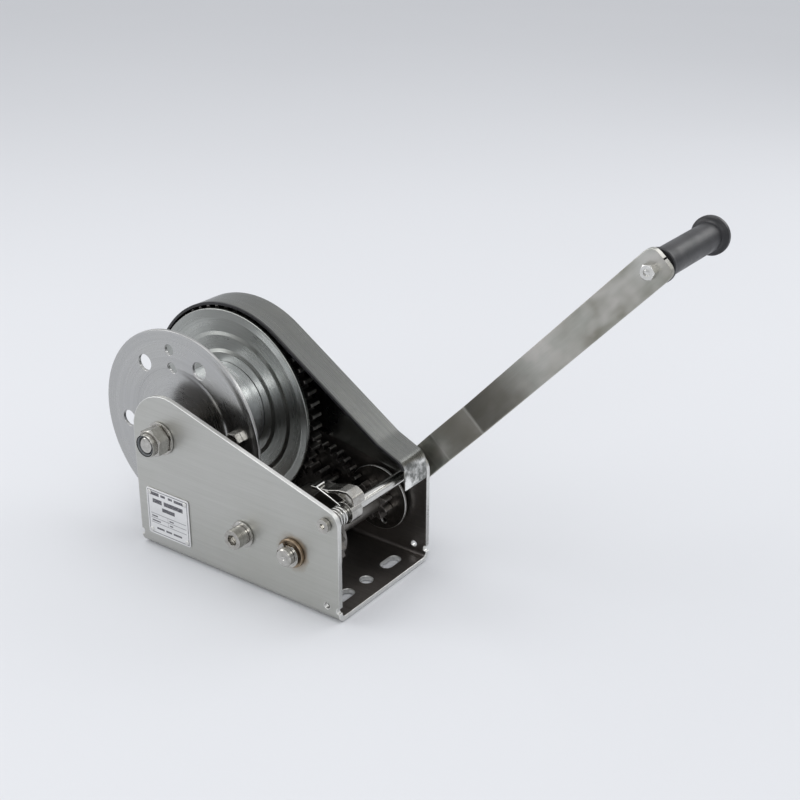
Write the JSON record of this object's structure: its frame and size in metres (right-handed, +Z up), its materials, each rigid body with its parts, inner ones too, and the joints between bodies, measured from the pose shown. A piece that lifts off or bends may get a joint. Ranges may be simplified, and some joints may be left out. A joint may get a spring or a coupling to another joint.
{
  "type": "boat trailer winch",
  "caption": "Two-stage hand winch: folded steel side frame, flanged rope drum with ring gear under a cover, ratchet pawl and brake pack, cranked handle with a turning grip.",
  "frame": {"origin": "centre of the underside of the base plate", "axes": "+X towards the open front end with the tie rod, +Y towards the crank side, +Z up; every shaft runs along Y"},
  "size_m": [0.4268, 0.2483, 0.2787],
  "materials": {
    "brushed_stainless": "brushed, light warm grey",
    "cover_stainless": "brushed, mid grey",
    "drum_stainless": "turned and polished",
    "bright_steel": "polished",
    "fastener_steel": "bright plated",
    "gear_dark_steel": "dark, oiled",
    "disc_dark_steel": "dark, turned",
    "friction_lining": "matte",
    "bronze": "satin",
    "name_plate_aluminium": "satin",
    "black_grip": "satin black"
  },
  "bodies": {
    "frame": {"frame_channel": "brushed_stainless", "gear_cover": "cover_stainless", "cover_edge_trim": "black_grip", "cover_rivet_1": "fastener_steel", "cover_rivet_2": "fastener_steel", "cover_rivet_3": "fastener_steel", "name_plate": "name_plate_aluminium", "name_plate_rivet_1": "fastener_steel", "name_plate_rivet_2": "fastener_steel", "name_plate_rivet_3": "fastener_steel", "name_plate_rivet_4": "fastener_steel", "drum_axle_bolt": "fastener_steel", "drum_axle_nut": "fastener_steel", "drum_axle_washer_near": "fastener_steel", "drum_axle_washer_far": "fastener_steel", "drum_spacer_near": "fastener_steel", "drum_spacer_far": "fastener_steel", "intermediate_axle_bolt": "fastener_steel", "intermediate_axle_nut": "fastener_steel", "intermediate_washer_near": "fastener_steel", "intermediate_washer_far": "fastener_steel", "intermediate_spacer_near": "disc_dark_steel", "intermediate_spacer_far": "disc_dark_steel", "tie_rod": "bright_steel", "tie_rod_screw_near": "fastener_steel", "tie_rod_screw_far": "fastener_steel", "bushing_near": "bronze", "bushing_far": "bronze", "pawl_spring": "bright_steel"},
    "drum": {"drum_flange_near": "drum_stainless", "drum_flange_far": "drum_stainless", "drum_barrel": "bright_steel", "drum_hub_tube": "disc_dark_steel", "drum_gear": "gear_dark_steel", "rope_clamp_bolt": "fastener_steel", "rope_clamp_plate": "fastener_steel", "rope_clamp_nut": "fastener_steel"},
    "intermediate": {"intermediate_pinion": "gear_dark_steel", "intermediate_gear": "gear_dark_steel"},
    "pinion": {"pinion_sleeve": "disc_dark_steel", "thrust_disc": "disc_dark_steel", "friction_disc_outer": "friction_lining", "friction_disc_inner": "friction_lining"},
    "ratchet": {"ratchet_wheel": "disc_dark_steel"},
    "crank": {"crank_shaft": "bright_steel", "brake_backing_disc": "disc_dark_steel", "shaft_clip": "fastener_steel", "crank_hub_cup": "brushed_stainless", "crank_arm": "brushed_stainless", "crank_washer": "fastener_steel", "crank_nut": "fastener_steel", "grip_bolt": "fastener_steel", "grip_bolt_nut": "fastener_steel"},
    "grip": {"grip": "black_grip"},
    "pawl": {"pawl": "fastener_steel"}
  },
  "joints": [
    {"name": "drum_spin", "type": "hinge", "parent": "frame", "child": "drum", "pos_m": [-0.07, 0, 0.1005], "axis": [0, 1, 0], "continuous": true},
    {"name": "intermediate_spin", "type": "hinge", "parent": "frame", "child": "intermediate", "pos_m": [0.00977, 0, 0.04444], "axis": [0, 1, 0], "continuous": true},
    {"name": "pinion_spin", "type": "hinge", "parent": "frame", "child": "pinion", "pos_m": [0.05726, 0, 0.04527], "axis": [0, 1, 0], "continuous": true},
    {"name": "brake_release", "type": "hinge", "parent": "pinion", "child": "crank", "pos_m": [0.05726, 0, 0.04527], "axis": [0, 1, 0], "range_deg": [0, 20]},
    {"name": "ratchet_spin", "type": "hinge", "parent": "frame", "child": "ratchet", "pos_m": [0.05726, 0, 0.04527], "axis": [0, 1, 0], "continuous": true},
    {"name": "pawl_swing", "type": "hinge", "parent": "frame", "child": "pawl", "pos_m": [0.0887, 0, 0.0787], "axis": [0, 1, 0], "range_deg": [0, 25], "stiffness_Nm_per_rad": 0.05, "springref_deg": -17.19, "deforming": ["pawl_spring"]},
    {"name": "grip_spin", "type": "hinge", "parent": "crank", "child": "grip", "pos_m": [0.25791, 0, 0.26424], "axis": [0, 1, 0], "continuous": true}
  ],
  "couplings": [
    {"joint": "intermediate_spin", "follows": "drum_spin", "ratio": -4.4167},
    {"joint": "pinion_spin", "follows": "drum_spin", "ratio": 12.367}
  ]
}
